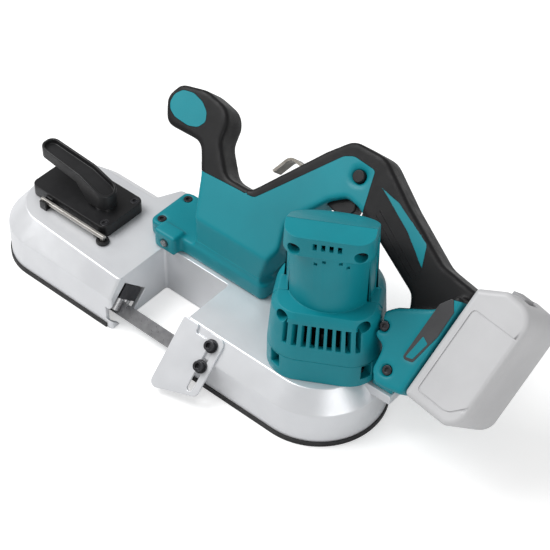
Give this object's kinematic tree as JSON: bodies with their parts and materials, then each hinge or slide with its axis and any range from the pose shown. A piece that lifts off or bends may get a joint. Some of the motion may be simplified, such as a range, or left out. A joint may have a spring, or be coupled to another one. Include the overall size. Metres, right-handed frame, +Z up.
{
  "type": "cordless portable band saw",
  "caption": "Cordless portable band saw: silver cast frame, two band wheels, twisted saw band, geared motor, tension lever, tilted D handle with trigger and a slide-on battery.",
  "frame": {"origin": "middle of the spine's flat underside, on the plane the saw rests on", "axes": "+X along the saw from the idler end to the battery end, -Y to the open throat at the front, +Z up, along the wheel axes"},
  "size_m": [0.5012, 0.2138, 0.203],
  "materials": {
    "frame_silver": "satin silver paint",
    "teal_plastic": "fine-grained moulded plastic",
    "grip_rubber": "soft moulded rubber",
    "bumper_rubber": "plain rubber",
    "black_plastic": "moulded plastic",
    "charcoal_plastic": "moulded plastic",
    "battery_grey": "pale moulded plastic",
    "steel": "machined",
    "blackened_steel": "black oxide",
    "zinc_plate": "bright zinc",
    "band_steel": "rolled strip",
    "bright_chrome": "polished",
    "wheel_alloy": "cast and turned",
    "tyre_rubber": "moulded tyre",
    "copper_winding": "enamelled copper wire",
    "copper_bar": "turned copper",
    "magnet": "sintered",
    "brush_carbon": "pressed carbon",
    "clear_lens": "clear moulded lens",
    "terminal_metal": "plated contacts in a block"
  },
  "bodies": {
    "frame": {"main_frame": "frame_silver", "bumper_idler": "bumper_rubber", "bumper_drive": "bumper_rubber", "gear_cover": "wheel_alloy", "frame_screws": "steel", "spindle_bearings": "steel", "intermediate_bearings": "steel", "motor_bearings": "steel", "motor_housing": "teal_plastic", "motor_cover": "teal_plastic", "housing_screws": "blackened_steel", "stator_yoke": "steel", "stator_magnets": "magnet", "brush_plate": "black_plastic", "carbon_brushes": "brush_carbon", "saw_blade": "band_steel", "guide_blocks": "blackened_steel", "tension_base": "black_plastic", "tension_spring": "steel", "handle_near": "teal_plastic", "handle_far": "teal_plastic", "front_grip": "grip_rubber", "main_grip": "grip_rubber", "foot_band": "charcoal_plastic", "trigger_switch": "black_plastic", "lamp_lens": "clear_lens", "battery_terminal": "terminal_metal", "stop_bolts": "zinc_plate"},
    "drive_assembly": {"drive_wheel": "wheel_alloy", "drive_tyre": "tyre_rubber", "drive_spindle": "steel", "drive_gear": "steel"},
    "idler_assembly": {"idler_wheel": "wheel_alloy", "idler_tyre": "tyre_rubber", "idler_bearings": "steel"},
    "intermediate": {"intermediate_gear": "steel", "intermediate_shaft": "steel"},
    "rotor": {"motor_shaft": "steel", "motor_pinion": "steel", "armature_core": "steel", "armature_winding": "copper_winding", "commutator": "copper_bar", "motor_fan": "black_plastic"},
    "slider": {"tension_slider": "steel", "idler_axle": "steel"},
    "lever": {"tension_lever": "black_plastic", "lever_cam": "bright_chrome"},
    "trigger": {"trigger": "black_plastic"},
    "lock_button": {"lock_button": "black_plastic"},
    "stop_plate": {"stop_plate": "zinc_plate"},
    "battery": {"battery_case": "battery_grey"},
    "battery_button": {"battery_button": "charcoal_plastic"},
    "hook": {"hanging_hook": "blackened_steel"},
    "hex_key": {"hex_key": "blackened_steel"},
    "face_roller_left_upper": {"face_roller_left_upper": "steel"},
    "face_roller_left_lower": {"face_roller_left_lower": "steel"},
    "back_roller_left": {"back_roller_left": "steel"},
    "face_roller_right_upper": {"face_roller_right_upper": "steel"},
    "face_roller_right_lower": {"face_roller_right_lower": "steel"},
    "back_roller_right": {"back_roller_right": "steel"}
  },
  "joints": [
    {"name": "drive_wheel_spin", "type": "hinge", "parent": "frame", "child": "drive_assembly", "pos_m": [0.131, -0.033, 0.014], "axis": [0, 0, 1], "continuous": true},
    {"name": "idler_wheel_spin", "type": "hinge", "parent": "slider", "child": "idler_assembly", "pos_m": [-0.131, -0.033, 0.014], "axis": [0, 0, 1], "continuous": true},
    {"name": "intermediate_spin", "type": "hinge", "parent": "frame", "child": "intermediate", "pos_m": [0.10336, -0.0285, 0.035], "axis": [0, 0, 1], "continuous": true},
    {"name": "motor_spin", "type": "hinge", "parent": "frame", "child": "rotor", "pos_m": [0.131, -0.024, 0.1], "axis": [0, 0, 1], "continuous": true},
    {"name": "face_roller_left_upper_spin", "type": "hinge", "parent": "frame", "child": "face_roller_left_upper", "pos_m": [-0.056, -0.0874, 0.01775], "axis": [0, 0.7071, 0.7071], "continuous": true},
    {"name": "face_roller_left_lower_spin", "type": "hinge", "parent": "frame", "child": "face_roller_left_lower", "pos_m": [-0.056, -0.0799, 0.01025], "axis": [0, 0.7071, 0.7071], "continuous": true},
    {"name": "back_roller_left_spin", "type": "hinge", "parent": "frame", "child": "back_roller_left", "pos_m": [-0.068, -0.07478, 0.02287], "axis": [0, -0.7071, 0.7071], "continuous": true},
    {"name": "face_roller_right_upper_spin", "type": "hinge", "parent": "frame", "child": "face_roller_right_upper", "pos_m": [0.0305, -0.0874, 0.01775], "axis": [0, 0.7071, 0.7071], "continuous": true},
    {"name": "face_roller_right_lower_spin", "type": "hinge", "parent": "frame", "child": "face_roller_right_lower", "pos_m": [0.0305, -0.0799, 0.01025], "axis": [0, 0.7071, 0.7071], "continuous": true},
    {"name": "back_roller_right_spin", "type": "hinge", "parent": "frame", "child": "back_roller_right", "pos_m": [0.0425, -0.07478, 0.02287], "axis": [0, -0.7071, 0.7071], "continuous": true},
    {"name": "tension_lever_turn", "type": "hinge", "parent": "frame", "child": "lever", "pos_m": [-0.118, -0.033, 0.07], "axis": [0, 0, 1], "range_deg": [0, 180]},
    {"name": "tension_slide", "type": "slide", "parent": "frame", "child": "slider", "axis": [1, 0, 0], "range_m": [0, 0.008], "deforming": ["tension_spring"]},
    {"name": "trigger_pull", "type": "slide", "parent": "frame", "child": "trigger", "axis": [0.6, 0.5657, 0.5657], "range_m": [0, 0.006], "stiffness_N_per_m": 900, "springref_m": -0.003},
    {"name": "lock_button_press", "type": "slide", "parent": "frame", "child": "lock_button", "axis": [0, 0.7071, -0.7071], "range_m": [0, 0.003], "stiffness_N_per_m": 900, "springref_m": -0.002},
    {"name": "stop_plate_slide", "type": "slide", "parent": "frame", "child": "stop_plate", "axis": [0, 0.7071, 0.7071], "range_m": [0, 0.02]},
    {"name": "battery_slide", "type": "slide", "parent": "frame", "child": "battery", "axis": [0.1132, 0.7026, 0.7026], "range_m": [0, 0.09]},
    {"name": "battery_button_press", "type": "slide", "parent": "battery", "child": "battery_button", "axis": [0.9936, -0.08, -0.08], "range_m": [0, 0.004], "stiffness_N_per_m": 800, "springref_m": -0.002},
    {"name": "hook_swing", "type": "hinge", "parent": "frame", "child": "hook", "pos_m": [0.03988, 0.04323, 0.10687], "axis": [0, -0.7071, 0.7071], "range_deg": [-80, 0]},
    {"name": "hex_key_lift", "type": "slide", "parent": "frame", "child": "hex_key", "axis": [0, 0, 1], "range_m": [0, 0.03]}
  ],
  "couplings": [
    {"joint": "idler_wheel_spin", "follows": "drive_wheel_spin", "ratio": 1},
    {"joint": "intermediate_spin", "follows": "drive_wheel_spin", "ratio": -5.2222},
    {"joint": "motor_spin", "follows": "drive_wheel_spin", "ratio": 31.333},
    {"joint": "face_roller_left_upper_spin", "follows": "drive_wheel_spin", "ratio": -9.93},
    {"joint": "face_roller_left_lower_spin", "follows": "drive_wheel_spin", "ratio": 9.93},
    {"joint": "back_roller_left_spin", "follows": "drive_wheel_spin", "ratio": 8.275},
    {"joint": "face_roller_right_upper_spin", "follows": "drive_wheel_spin", "ratio": -9.93},
    {"joint": "face_roller_right_lower_spin", "follows": "drive_wheel_spin", "ratio": 9.93},
    {"joint": "back_roller_right_spin", "follows": "drive_wheel_spin", "ratio": 8.275},
    {"joint": "tension_slide", "follows": "tension_lever_turn", "m_per_rad": 0.0025465}
  ]
}
